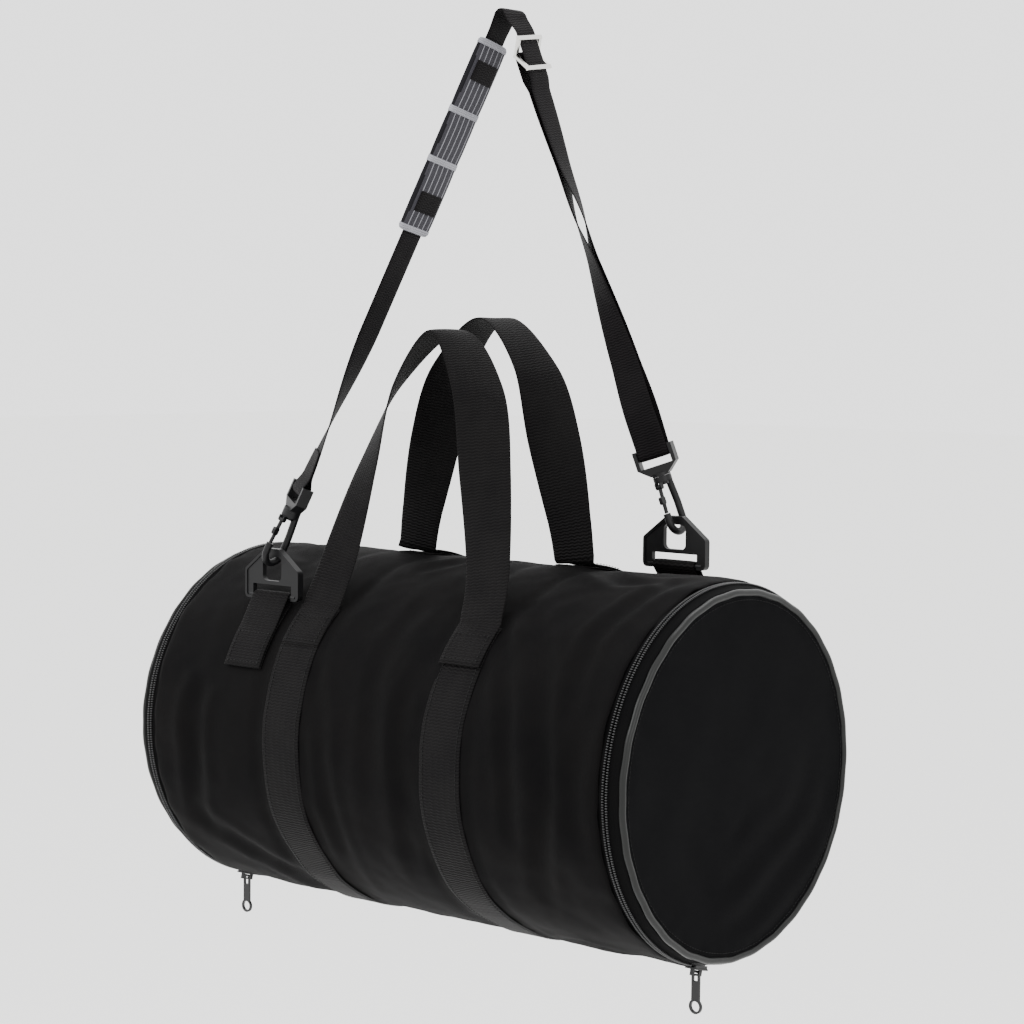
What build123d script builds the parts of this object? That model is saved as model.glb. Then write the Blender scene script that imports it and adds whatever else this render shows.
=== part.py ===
"""Barrel rope bag: zipped round door at each end, two webbing carry handles, clip-on shoulder strap.

Millimetres, +Z up, +X along the barrel, front of the bag towards -Y. The bag hangs by its shoulder
strap, and the origin is the centre of the peg that the strap hangs over.
"""

import os
from math import cos, degrees, radians, sin

from build123d import *

# Barrel
barrel_radius = 140.0  # outside of the fabric
barrel_length = 500.0  # between the outer faces of the two doors
hang_drop = 556.0  # from the peg down to the barrel's axis
hang_shift = 20.0  # from the barrel's middle to the peg, along the barrel
shell_wall = 2.5
shell_gap = 20.0  # from a door's outer face back to the shell's hem

# Angles round the barrel are in degrees from straight down, by way of the front
front_foot_angle = 137.0  # where the front handle leaves the barrel
rear_foot_angle = 184.0
gusset_start = -38.0  # the fabric hinge of a door
gusset_end = 6.0

# Doors
panel_thickness = 4.0
panel_inset = 0.5  # the panel's outer face sits this far inside the barrel's end
piping_radius = 2.6
piping_inset = 7.5  # the piping's middle inside the barrel's outside
binding_width = 3.0
binding_lap = 3.1  # how far the binding reaches in over the panel's back
hinge_drop = 1.0  # the door's hinge line below the barrel
hinge_inset = 3.5  # and back from the end of the barrel
gusset_gap = 0.6

# Zip
chain_inset = 14.0  # middle of the teeth, back from the end of the barrel
tape_thickness = 0.8
tape_width = 12.5
tooth_width = 2.2
tooth_height = 2.0
tooth_gap = 1.0  # between the two rows of teeth
park_angle = 13.0  # where the closed slider rests
slider_length = 14.0
slider_width = 10.4
slider_plate = 1.2
slider_clearance = 0.3
slider_lip = 1.3
post_width = 0.6
stop_length = 3.5
park_margin = 3.0  # between the parked slider and the door's first tooth
bridge_width = 2.8
bridge_height = 4.4
bridge_span = 11.0
bridge_bar = 1.3
pull_length = 31.0
pull_width = 7.0
pull_tip_width = 11.0
pull_thickness = 1.8
pull_hole_radius = 3.8
pull_eye = 6.2  # free length of the pull's eye
pull_bar_radius = 0.85
pull_gap = 0.5

# Webbing
web_width = 40.0
web_thickness = 1.6
web_spacing = 166.0  # between the middles of the two barrel straps
strap_width = 25.0
strap_thickness = 1.3
foot_gap = 0.4  # from a handle's foot to the barrel strap below it

# Carry handles: the middle of each arch, above the barrel's axis, and where it leans to
front_apex_height = 318.0
front_apex_y = -47.0
rear_apex_height = 327.0
rear_apex_y = 8.0
handle_sections = 17
front_foot_lean = 0.6  # how far a handle leans in where it leaves the barrel, over its climb
rear_foot_lean = 0.1
# Along half a handle: share of the half span, share of the way to the apex's y, share of the climb
handle_shape = (
    (1.0, 0.0, 0.0),
    (0.93, 0.28, 0.18),
    (0.74, 0.55, 0.5),
    (0.5, 0.8, 0.8),
    (0.0, 1.0, 1.0),
)
# Along a whole handle: share of its length, and how far its face has turned there
front_handle_turns = ((0.0, 0.0), (1.0, 180.0))
rear_handle_turns = ((0.0, 0.0), (0.5, 90.0), (1.0, 0.0))

# Rings and their tabs
ring_clearance = 3.0  # from a barrel strap's edge to a ring's edge, along the barrel
front_bar_angle = 138.07
front_bar_lift = 5.16  # middle of the ring's bar, out from the barrel
rear_bar_angle = 205.08
rear_bar_lift = 15.68
ring_side = 8.5  # from the slot out to the ring's edge
ring_height = 40.0
ring_shoulder = 23.0  # height of the straight sides
ring_top = 15.0  # width of the flat top
ring_thickness = 4.0
ring_corner = 4.0
ring_slot_play = 3.0  # the slot is this much wider than the webbing
ring_slot_height = 6.6
ring_rib = 3.0  # between the slot and the eye
ring_eye_width = 21.0
ring_top_bar = 6.4
ring_rim = 0.8  # raised edge, each side
ring_rim_width = 2.0
bar_radius = 2.5  # the round bar that the tab goes round
bar_clearance = 0.08
front_tab_seam = 127.0  # where the two layers of a tab part from the skin
front_tab_start = 113.0
rear_tab_seam = 219.0
rear_tab_end = 247.0

# Snap hooks, measured up from the middle of the hook's bend
bend_radius = 8.8
wire_radius = 2.8
nose_height = 7.0
collar_radius = 7.2
collar_base = 31.0
collar_height = 4.5
head_radius = 3.6
pin_radius = 2.5
head_height = 2.2
swivel_clearance = 0.08
spine_start = 14.0  # where the hook's back leans in to the collar
spine_lean = 2.1
flange_thickness = 2.5
yoke_height = 6.0
eye_height = 54.0  # middle of the bar that the strap goes round
eye_bar_radius = 2.6
ear_thickness = 3.0
ear_width = 9.0
eye_clearance = 0.5  # between the strap's edges and the ears
gate_radius = 1.5
gate_foot = 7.0  # the gate's hinge, out from the hook's middle
gate_drop = 3.2  # and below the collar
gate_gap = 0.3
gate_pin_radius = 0.9
gate_pin_clearance = 0.05
knuckle_radius = 1.9
knuckle_width = 3.0
cheek_thickness = 1.2
cheek_gap = 0.1
nub_reach = 2.0
nub_length = 6.0

# Shoulder strap
peg_radius = 5.0
layer_offset = 3.9  # each layer of the doubled run from its middle
sewn_length = 34.0  # the front end folded back on itself
sewn_closing = 14.0
front_turn = 60.0  # how far the webbing is twisted from its lie on the peg, at the front hook
pad_turn = 5.0
rear_turn = 110.0
glide_turn = 5.0
twist_length = 16.0  # each side of the peg
front_twist = 140.0  # how far above the front hook the webbing twists
rear_twist = 290.0
run_step = 10.0  # between the stations of the webbing

# Shoulder pad, measured down the strap from the peg
pad_top = 22.0
pad_length = 158.0
pad_width = 36.0
pad_thickness = 7.0
pad_slot_clearance = 0.6
pad_corner = 3.0
pad_window = 16.0
pad_window_inset = 17.0
pad_band = 5.0
pad_band_height = 0.6
pad_band_places = (0.0, 56.0, 97.0, 153.0)
pad_travel = 60.0

# Adjuster on the doubled run
glide_place = 32.0  # its middle, down from the peg
glide_length = 27.0
glide_side = 3.4
glide_rail = 3.4
glide_thickness = 2.0
glide_core_radius = 1.4
glide_clearance = 0.3
end_tail = 12.0

axis_z = -hang_drop
barrel = Axis((-hang_shift, 0, axis_z), (-1, 0, 0))  # turning about it carries bottom to front to top
half_length = barrel_length / 2
shell_half = half_length - shell_gap
shell_inside = barrel_radius - shell_wall
tape_inside = shell_inside - tape_thickness
chain_x = half_length - chain_inset
piping_x = half_length - piping_radius
piping_ring = barrel_radius - piping_inset
panel_x = half_length - panel_inset - panel_thickness
slider_angle = degrees(slider_length / barrel_radius)
stop_angle = degrees(stop_length / barrel_radius)
stop_gap_angle = degrees(slider_clearance / barrel_radius)
margin_angle = degrees(park_margin / barrel_radius)
chain_end = gusset_start + 360
travel_end = chain_end - (park_angle - gusset_end)
zip_travel = travel_end - park_angle


def outwards(angle):
    """The direction out of the barrel at an angle round it."""
    return Vector(0, -sin(radians(angle)), -cos(radians(angle)))


def onwards(angle):
    """The direction along the barrel's skin in which the angle grows."""
    return Vector(0, -cos(radians(angle)), sin(radians(angle)))


def on_barrel(angle, radius, x=0.0):
    """A point at a radius from the barrel's axis."""
    return Vector(x - hang_shift, 0, axis_z) + outwards(angle) * radius


def section_plane(angle):
    """The half plane at an angle round the barrel: local x along the barrel, local y outwards."""
    return Plane(origin=(-hang_shift, 0, axis_z), x_dir=(1, 0, 0), z_dir=-onwards(angle))


def band(x_from, x_to, r_from, r_to, start, sweep, cutter=None):
    """A strip of fabric or tape that follows the barrel, less a cutter."""
    with BuildPart() as strip:
        with BuildSketch(section_plane(start)):
            with Locations(((x_from + x_to) / 2, (r_from + r_to) / 2)):
                Rectangle(abs(x_to - x_from), r_to - r_from)
        revolve(axis=barrel, revolution_arc=sweep)
        if cutter:
            add(cutter, mode=Mode.SUBTRACT)
    return strip


def smooth(share):
    share = min(max(share, 0.0), 1.0)
    return share * share * (3 - 2 * share)


def turned(turns, place):
    """How far webbing has turned at a place, between the places and angles that are given."""
    turn = turns[0][1]
    for (start, before), (end, after) in zip(turns, turns[1:]):
        turn += (after - before) * smooth((place - start) / (end - start))
    return turn


def unit(vector):
    return vector.normalized()


def square_to(vector, direction):
    """The part of a vector that is square to a direction, made a unit."""
    return unit(vector - direction * vector.dot(direction))


def ribbon(stations, width, thickness):
    """Webbing lofted through stations, each a point, a direction along it and one across it."""
    with BuildPart() as webbing:
        for point, along, across in stations:
            with BuildSketch(Plane(origin=point, x_dir=square_to(across, along), z_dir=along)):
                Rectangle(width, thickness)
        loft(ruled=True)
    return webbing


def save(piece, name):
    piece.part.label = name
    export_step(piece.part, f"parts/{name}.step")
    print(name, round(piece.part.volume), "mm3", len(piece.part.solids()), "solid")


# ---------------------------------------------------------------- barrel


def make_barrel():
    save(band(-shell_half, shell_half, shell_inside, barrel_radius, 0, 360), "barrel_shell")
    for name, side in (("left", -1), ("right", 1)):
        middle = side * web_spacing / 2
        save(
            band(
                middle - web_width / 2,
                middle + web_width / 2,
                barrel_radius,
                barrel_radius + web_thickness,
                rear_foot_angle - 360,
                front_foot_angle + 360 - rear_foot_angle,
            ),
            f"barrel_webbing_{name}",
        )


# ---------------------------------------------------------------- doors and zips


def make_door(name, side):
    with BuildPart() as piping:
        with BuildSketch(section_plane(0)):
            with Locations((side * piping_x, piping_ring)):
                Circle(piping_radius)
        revolve(axis=barrel)
    save(piping, f"door_piping_{name}")

    with BuildPart() as panel:
        with BuildSketch(section_plane(0)):
            with Locations((side * (panel_x + panel_thickness / 2), piping_ring / 2)):
                Rectangle(panel_thickness, piping_ring)
        revolve(axis=barrel)
        add(piping.part, mode=Mode.SUBTRACT)
    save(panel, f"door_panel_{name}")

    save(
        band(
            side * (panel_x - binding_width),
            side * panel_x,
            piping_ring - binding_lap,
            tape_inside,
            0,
            360,
            piping.part,
        ),
        f"door_binding_{name}",
    )
    door_first = park_angle + slider_angle / 2 + margin_angle
    door_last = travel_end - slider_angle / 2 - margin_angle
    inner_tooth = chain_x + tooth_gap / 2
    save(
        band(
            side * inner_tooth,
            side * panel_x,
            tape_inside,
            shell_inside,
            door_first,
            door_last - door_first,
        ),
        f"door_zip_tape_{name}",
    )
    save(
        band(
            side * inner_tooth,
            side * (inner_tooth + tooth_width),
            shell_inside,
            shell_inside + tooth_height,
            door_first,
            door_last - door_first,
        ),
        f"door_zip_teeth_{name}",
    )


def make_barrel_zip(name, side):
    tooth_edge = chain_x - tooth_gap / 2
    save(
        band(
            side * (tooth_edge - tape_width),
            side * tooth_edge,
            tape_inside,
            shell_inside,
            gusset_end,
            chain_end - gusset_end,
        ),
        f"barrel_zip_tape_{name}",
    )
    teeth_first = park_angle - slider_angle / 2 - stop_gap_angle
    teeth_last = travel_end + slider_angle / 2 + stop_gap_angle
    save(
        band(
            side * (tooth_edge - tooth_width),
            side * tooth_edge,
            shell_inside,
            shell_inside + tooth_height,
            teeth_first,
            teeth_last - teeth_first,
        ),
        f"barrel_zip_teeth_{name}",
    )
    with BuildPart() as stops:
        for start in (teeth_first - stop_angle, teeth_last):
            add(
                band(
                    side * (tooth_edge - tooth_width),
                    side * tooth_edge,
                    shell_inside,
                    shell_inside + tooth_height + slider_clearance,
                    start,
                    stop_angle,
                ).part
            )
    save(stops, f"zip_stops_{name}")
    save(
        band(
            side * shell_half,
            side * (piping_x - piping_radius - gusset_gap),
            shell_inside,
            barrel_radius,
            gusset_start,
            gusset_end - gusset_start,
        ),
        f"hinge_gusset_{name}",
    )


def make_slider(name, side):
    teeth_top = shell_inside + tooth_height
    inner_face = tape_inside - slider_clearance
    outer_face = teeth_top + slider_clearance
    plate_top = outer_face + slider_plate
    lip_at = tooth_gap / 2 + tooth_width + slider_clearance
    lip_base = shell_inside + slider_clearance
    first = park_angle - slider_angle / 2
    bar_height = pull_axis_radius() - plate_top
    with BuildPart() as slider:
        with BuildSketch(section_plane(first)):
            with Locations((side * chain_x, inner_face - slider_plate / 2)):
                Rectangle(slider_width, slider_plate)
            with Locations((side * chain_x, outer_face + slider_plate / 2)):
                Rectangle(slider_width, slider_plate)
            with Locations((side * chain_x, (inner_face + outer_face) / 2)):
                Rectangle(post_width, outer_face - inner_face)
            for edge in (-1, 1):
                middle = side * chain_x + edge * (lip_at + slider_lip / 2)
                with Locations((middle, (lip_base + outer_face) / 2)):
                    Rectangle(slider_lip, outer_face - lip_base)
        revolve(axis=barrel, revolution_arc=slider_angle)
        plane = Plane(
            origin=on_barrel(park_angle, plate_top, side * chain_x),
            x_dir=onwards(park_angle),
            z_dir=(1, 0, 0),
        )
        with BuildSketch(plane):
            with Locations((0, (bridge_height - slider_plate) / 2)):
                Rectangle(bridge_span, bridge_height + slider_plate)
            with Locations((0, bar_height)):
                Rectangle(
                    bridge_span - 2 * bridge_bar,
                    2 * (bridge_height - bridge_bar - bar_height),
                    mode=Mode.SUBTRACT,
                )
        extrude(amount=bridge_width / 2, both=True)
    save(slider, f"zip_slider_{name}")


def pull_axis_radius():
    """How far the zip pull's hinge is from the barrel's axis."""
    plate_top = shell_inside + tooth_height + slider_clearance + slider_plate
    return plate_top + pull_bar_radius + pull_gap


def pull_axis(side):
    """The middle of the zip pull's hinge."""
    return on_barrel(park_angle, pull_axis_radius(), side * chain_x)


def make_pull(name, side):
    hinge = pull_axis(side)
    tip = -(pull_length - pull_tip_width / 2)
    eye_foot = -(pull_bar_radius + pull_eye)
    with BuildPart() as pull:
        with BuildSketch(Plane(origin=hinge, x_dir=(1, 0, 0), z_dir=(0, -1, 0))):
            with Locations((0, eye_foot / 2)):
                Rectangle(pull_width, -eye_foot)
            with Locations((0, (eye_foot + tip) / 2)):
                Rectangle(pull_width, eye_foot - tip)
            with Locations((0, tip)):
                Circle(pull_tip_width / 2)
                Circle(pull_hole_radius, mode=Mode.SUBTRACT)
            with Locations((0, (eye_foot - pull_bar_radius) / 2)):
                Rectangle(
                    bridge_width + 2 * pull_gap, -eye_foot - pull_bar_radius, mode=Mode.SUBTRACT
                )
        extrude(amount=pull_thickness / 2, both=True)
        with BuildSketch(Plane(origin=hinge, x_dir=(0, 1, 0), z_dir=(1, 0, 0))):
            Circle(pull_bar_radius)
        extrude(amount=pull_width / 2, both=True)
    save(pull, f"zip_pull_{name}")


# ---------------------------------------------------------------- carry handles


def handle_stations(foot_angle, foot_lean, apex_y, apex_height, turns):
    """Stations over a handle's arch. The webbing turns its face from the barrel up to the sky."""
    foot_radius = barrel_radius + web_thickness * 1.5 + foot_gap
    foot = on_barrel(foot_angle, foot_radius)
    apex = Vector(0, apex_y, axis_z + apex_height)
    rise = apex.Z - foot.Z
    lean = 1 if foot.Y < 0 else -1
    half_span = web_spacing / 2
    points = [
        Vector(-half_span * outwards_share, foot.Y + (apex.Y - foot.Y) * back, foot.Z + rise * up)
        for outwards_share, back, up in handle_shape
    ]
    points += [Vector(-p.X, p.Y, p.Z) for p in reversed(points[:-1])]
    points = [Vector(p.X - hang_shift, p.Y, p.Z) for p in points]
    climb = unit(Vector(0, lean * foot_lean, 1))
    arch = Edge.make_spline(points, tangents=[climb, Vector(0, climb.Y, -climb.Z)])
    stations = []
    for index in range(handle_sections):
        share = index / (handle_sections - 1)
        turn = radians(turned(turns, share))
        across = Vector(cos(turn), -lean * sin(turn), 0)
        stations.append((arch.position_at(share), arch.tangent_at(share), across))
    return stations


def make_handles():
    front = handle_stations(
        front_foot_angle, front_foot_lean, front_apex_y, front_apex_height, front_handle_turns
    )
    rear = handle_stations(
        rear_foot_angle, rear_foot_lean, rear_apex_y, rear_apex_height, rear_handle_turns
    )
    for name, stations in (("front", front), ("rear", rear)):
        save(ribbon(stations, web_width, web_thickness), f"carry_handle_{name}")


# ---------------------------------------------------------------- rings and their tabs

ring_slot_width = web_width + ring_slot_play
ring_width = ring_slot_width + 2 * ring_side
ring_x = web_spacing / 2 + web_width / 2 + ring_clearance + ring_width / 2
front_bar = on_barrel(front_bar_angle, barrel_radius + front_bar_lift, -ring_x)
rear_bar = on_barrel(rear_bar_angle, barrel_radius + rear_bar_lift, ring_x)
hook_reach = ring_height - bar_radius - ring_top_bar / 2  # from a ring's bar up to its hook


def make_ring(name, bar):
    """A plate with a rim, standing on the round bar that its tab holds."""
    plane = Plane(origin=bar - Vector(0, 0, bar_radius), x_dir=(1, 0, 0), z_dir=(0, -1, 0))
    half, top = ring_width / 2, ring_top / 2
    slot_top = 2 * bar_radius + ring_slot_height
    eye_base = slot_top + ring_rib
    eye_height = ring_height - ring_top_bar - eye_base
    outline = Polyline(
        (-half, 0),
        (half, 0),
        (half, ring_shoulder),
        (top, ring_height),
        (-top, ring_height),
        (-half, ring_shoulder),
        (-half, 0),
    )
    full = ring_thickness / 2 + ring_rim
    with BuildPart() as ring:
        with BuildSketch(plane):
            with BuildLine():
                add(outline)
            make_face()
            fillet(vertices(), ring_corner)
        extrude(amount=full, both=True)
        for face in (-1, 1):
            with BuildSketch(plane.offset(face * full)):
                with BuildLine():
                    add(outline)
                make_face()
                fillet(vertices(), ring_corner)
                offset(amount=-ring_rim_width)
            extrude(amount=-face * ring_rim, mode=Mode.SUBTRACT)
        with BuildSketch(plane):
            with Locations((0, slot_top / 2)):
                Rectangle(ring_slot_width, slot_top)
            with Locations((0, eye_base + eye_height / 2)):
                RectangleRounded(ring_eye_width, eye_height, ring_corner)
        extrude(amount=full, both=True, mode=Mode.SUBTRACT)
        with BuildSketch(Plane(origin=bar, x_dir=(0, 1, 0), z_dir=(1, 0, 0))):
            Circle(bar_radius)
        extrude(amount=ring_slot_width / 2 + ring_corner, both=True)
    save(ring, f"strap_ring_{name}")


def make_tab(name, bar, seam, end):
    """Webbing folded round the ring's bar, with both its layers sewn to the skin."""
    middle = Plane(origin=(bar.X, 0, axis_z), x_dir=(0, 1, 0), z_dir=(1, 0, 0))
    turn_radius = bar_radius + bar_clearance + web_thickness / 2
    centre = (bar.Y, bar.Z - axis_z)
    side = 1 if end > seam else -1

    def on_skin(angle, layer):
        radius = barrel_radius + web_thickness * (layer + 0.5)
        point = outwards(angle) * radius
        return (point.Y, point.Z)

    lower, upper = on_skin(seam, 0), on_skin(seam, 1)
    away = unit(Vector(*centre) - Vector(*lower))
    across = Vector(-away.Y, away.X) * (turn_radius * side)
    with BuildPart() as tab:
        add(
            band(
                bar.X + hang_shift - web_width / 2,
                bar.X + hang_shift + web_width / 2,
                barrel_radius,
                barrel_radius + 2 * web_thickness,
                min(seam, end),
                abs(end - seam),
            ).part
        )
        for foot, head in (
            (lower, Vector(*centre) + across),
            (upper, Vector(*centre) - across),
        ):
            along = unit(head - Vector(*foot))
            start = Vector(*foot) - along * (web_thickness / 2)
            edge = Vector(-along.Y, along.X) * (web_thickness / 2)
            with BuildSketch(middle):
                with BuildLine():
                    Polyline(start + edge, start - edge, head - edge, head + edge, start + edge)
                make_face()
            extrude(amount=web_width / 2, both=True)
        with BuildSketch(middle):
            with Locations(centre):
                Circle(turn_radius + web_thickness / 2)
        extrude(amount=web_width / 2, both=True)
        with BuildSketch(middle):
            with Locations(centre):
                Circle(bar_radius + bar_clearance)
            Circle(barrel_radius)
        extrude(amount=web_width, both=True, mode=Mode.SUBTRACT)
    save(tab, f"ring_tab_{name}")


# ---------------------------------------------------------------- snap hooks


class HookFrame:
    """Where a snap hook stands: its bend round the ring's top bar, its swivel towards the peg."""

    def __init__(self, bar, turn):
        self.centre = bar + Vector(0, 0, hook_reach)
        self.up = unit(-self.centre)
        self.front = square_to(Vector(0, -1, 0), self.up)
        self.normal = self.front.cross(self.up)
        self.across = web_across(self.up, turn)

    def at(self, out, height):
        """A point in the plane of the bend."""
        return self.centre + self.front * out + self.up * height

    def bend_plane(self):
        """The plane of the bend: local x towards the nose, local y up."""
        return Plane(origin=self.centre, x_dir=self.front, z_dir=self.normal)

    def deck(self, height):
        """A plane across the swivel."""
        return Plane(origin=self.at(0, height), x_dir=self.front, z_dir=self.up)


def web_across(along, turn):
    """Across the webbing, turned about its run from the peg's own direction."""
    start = square_to(Vector(0, 1, 0), along)
    return start * cos(radians(turn)) + along.cross(start) * sin(radians(turn))


def disc(plane, radius, height):
    """A disc that stands on a plane."""
    with BuildPart() as piece:
        with BuildSketch(plane):
            Circle(radius)
        extrude(amount=height)
    return piece.part


def make_hook(name, frame):
    gate_height = collar_base - gate_drop
    spine_x = -(bend_radius - spine_lean)
    with BuildPart() as hook:
        with BuildLine(frame.bend_plane()) as rod:
            Polyline(
                (spine_x, collar_base + collar_height / 2),
                (-bend_radius, spine_start),
                (-bend_radius, 0),
            )
            ThreePointArc((-bend_radius, 0), (0, -bend_radius), (bend_radius, 0))
            Line((bend_radius, 0), (bend_radius, nose_height))
        with BuildSketch(Plane(origin=rod.line @ 0, z_dir=rod.line % 0)):
            Circle(wire_radius)
        sweep(transition=Transition.ROUND)
        add(disc(frame.deck(collar_base), collar_radius, collar_height))
        with BuildSketch(frame.bend_plane()):
            with Locations((gate_foot, (gate_height + collar_base) / 2)):
                Rectangle(2 * knuckle_radius, collar_base - gate_height)
            with Locations((gate_foot, gate_height)):
                Circle(knuckle_radius)
        extrude(amount=knuckle_width / 2 + cheek_gap + cheek_thickness, both=True)
        with BuildSketch(frame.bend_plane()):
            with Locations((gate_foot, gate_height)):
                Rectangle(4 * knuckle_radius, 2 * (gate_drop - cheek_gap))
        extrude(amount=knuckle_width / 2 + cheek_gap, both=True, mode=Mode.SUBTRACT)
        with BuildSketch(frame.bend_plane()):
            with Locations((gate_foot, gate_height)):
                Circle(gate_pin_radius)
        extrude(amount=knuckle_width / 2 + cheek_gap + cheek_thickness, both=True)
        with BuildSketch(frame.deck(collar_base - gate_drop)):
            Circle(pin_radius + swivel_clearance)
        extrude(amount=gate_drop + collar_height, mode=Mode.SUBTRACT)
    save(hook, f"snap_hook_{name}")

    tip = (bend_radius, nose_height + gate_gap)
    with BuildPart() as gate:
        start = frame.at(*tip)
        end = frame.at(gate_foot, gate_height)
        with BuildSketch(Plane(origin=start, z_dir=end - start)):
            Circle(gate_radius)
        extrude(amount=(end - start).length)
        with BuildSketch(frame.bend_plane()):
            with Locations((gate_foot, gate_height)):
                Circle(knuckle_radius)
            with Locations((bend_radius, (nose_height + gate_height) / 2)):
                RectangleRounded(2 * gate_radius + nub_reach, nub_length, gate_radius)
        extrude(amount=knuckle_width / 2, both=True)
        with BuildSketch(frame.bend_plane()):
            with Locations((gate_foot, gate_height)):
                Circle(gate_pin_radius + gate_pin_clearance)
        extrude(amount=knuckle_width, both=True, mode=Mode.SUBTRACT)
        with BuildSketch(frame.deck(nose_height)):
            Rectangle(4 * bend_radius, 4 * bend_radius)
        extrude(amount=gate_gap, mode=Mode.SUBTRACT)
    save(gate, f"hook_gate_{name}")

    flange_base = collar_base + collar_height + swivel_clearance
    window_base = flange_base + flange_thickness + yoke_height
    ears_top = eye_height + ear_width / 2
    window_width = strap_width + 2 * eye_clearance
    yoke_width = window_width + 2 * ear_thickness
    plane = Plane(
        origin=frame.at(0, 0), x_dir=frame.across, z_dir=frame.across.cross(frame.up)
    )
    with BuildPart() as yoke:
        under_collar = collar_base - swivel_clearance
        add(disc(frame.deck(flange_base), collar_radius, flange_thickness))
        add(disc(frame.deck(under_collar), pin_radius, flange_base - under_collar))
        add(disc(frame.deck(under_collar - head_height), head_radius, head_height))
        neck_base = flange_base + flange_thickness / 2
        with BuildSketch(plane):
            with BuildLine():
                Polyline(
                    (-collar_radius, neck_base),
                    (collar_radius, neck_base),
                    (yoke_width / 2, window_base),
                    (yoke_width / 2, ears_top),
                    (-yoke_width / 2, ears_top),
                    (-yoke_width / 2, window_base),
                    (-collar_radius, neck_base),
                )
            make_face()
            with Locations((0, (window_base + ears_top) / 2 + ear_width / 2)):
                Rectangle(window_width, ears_top - window_base + ear_width, mode=Mode.SUBTRACT)
        extrude(amount=ear_width / 2, both=True)
        with BuildSketch(
            Plane(origin=frame.at(0, eye_height), x_dir=frame.up, z_dir=frame.across)
        ):
            Circle(eye_bar_radius)
        extrude(amount=yoke_width / 2, both=True)
    save(yoke, f"swivel_yoke_{name}")


front_frame = HookFrame(front_bar, front_turn)
rear_frame = HookFrame(rear_bar, rear_turn)

# ---------------------------------------------------------------- shoulder strap

peg_turn_radius = peg_radius + strap_thickness / 2


class Run:
    """The webbing between a hook's eye bar and the peg."""

    def __init__(self, frame, side, turns):
        self.frame = frame
        self.eye = frame.at(0, eye_height)
        lift = square_to(Vector(side, 0, 0), frame.up)
        self.top = lift * peg_turn_radius
        self.length = (self.top - self.eye).length
        self.along = unit(self.top - self.eye)
        self.turns = turns

    def across(self, height):
        """Across the webbing, at a height above the eye bar."""
        return web_across(self.along, turned(self.turns, height))

    def station(self, height, offset):
        """A section of the webbing, offset square to its face."""
        across = self.across(height)
        point = self.eye + self.along * height + across.cross(self.along) * offset
        return (point, self.along, across)


    def stations(self, start, end, offset_at):
        """Sections from one height to another, with the offset given by a function of height."""
        count = max(2, round(abs(end - start) / run_step) + 1)
        heights = [start + (end - start) * index / (count - 1) for index in range(count)]
        return [self.station(height, offset_at(height)) for height in heights]

    def plane(self, height, offset=0.0):
        """On the webbing: local x across it, local y along it, normal out of its face."""
        point, along, across = self.station(height, offset)
        return Plane(origin=point, x_dir=across, z_dir=across.cross(along))


def turn_round(run, height, offset, radius, below):
    """Half a turn of webbing round a bar that lies across a run."""
    point, along, across = run.station(height, offset)
    start = across.cross(along)
    kept = Align.MAX if below else Align.MIN
    with BuildPart() as turn:
        with BuildSketch(Plane(origin=point, x_dir=start, z_dir=across)):
            Circle(radius + strap_thickness / 2)
            Circle(radius - strap_thickness / 2, mode=Mode.SUBTRACT)
            Rectangle(4 * radius, 4 * radius, align=(Align.CENTER, kept), mode=Mode.SUBTRACT)
        extrude(amount=strap_width / 2, both=True)
    return turn


def run_turns(frame, side, hook_turn, twist, top_turn):
    """A run whose webbing twists above the hook, and again just before the peg."""
    run = Run(frame, side, ((0, hook_turn), (1, hook_turn)))
    run.turns = (
        (0, hook_turn),
        (twist, top_turn),
        (run.length - twist_length, top_turn),
        (run.length, 0),
    )
    return run


front_run = run_turns(front_frame, -1, front_turn, front_twist, pad_turn)
rear_run = run_turns(rear_frame, 1, rear_turn, rear_twist, glide_turn)
glide_height = rear_run.length - glide_place
glide_core_offset = glide_core_radius + glide_clearance + strap_thickness / 2 - layer_offset


def over_peg():
    """Sections of the webbing over the top of the peg, from the front run to the rear run."""
    lift_front, lift_rear = unit(front_run.top), unit(rear_run.top)
    top, onward = Vector(0, 0, 1), Vector(1, 0, 0)
    stops = (
        (unit(lift_front + top), unit(front_run.along + onward)),
        (top, onward),
        (unit(top + lift_rear), unit(onward - rear_run.along)),
    )
    return [(lift * peg_turn_radius, along, Vector(0, 1, 0)) for lift, along in stops]


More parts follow.
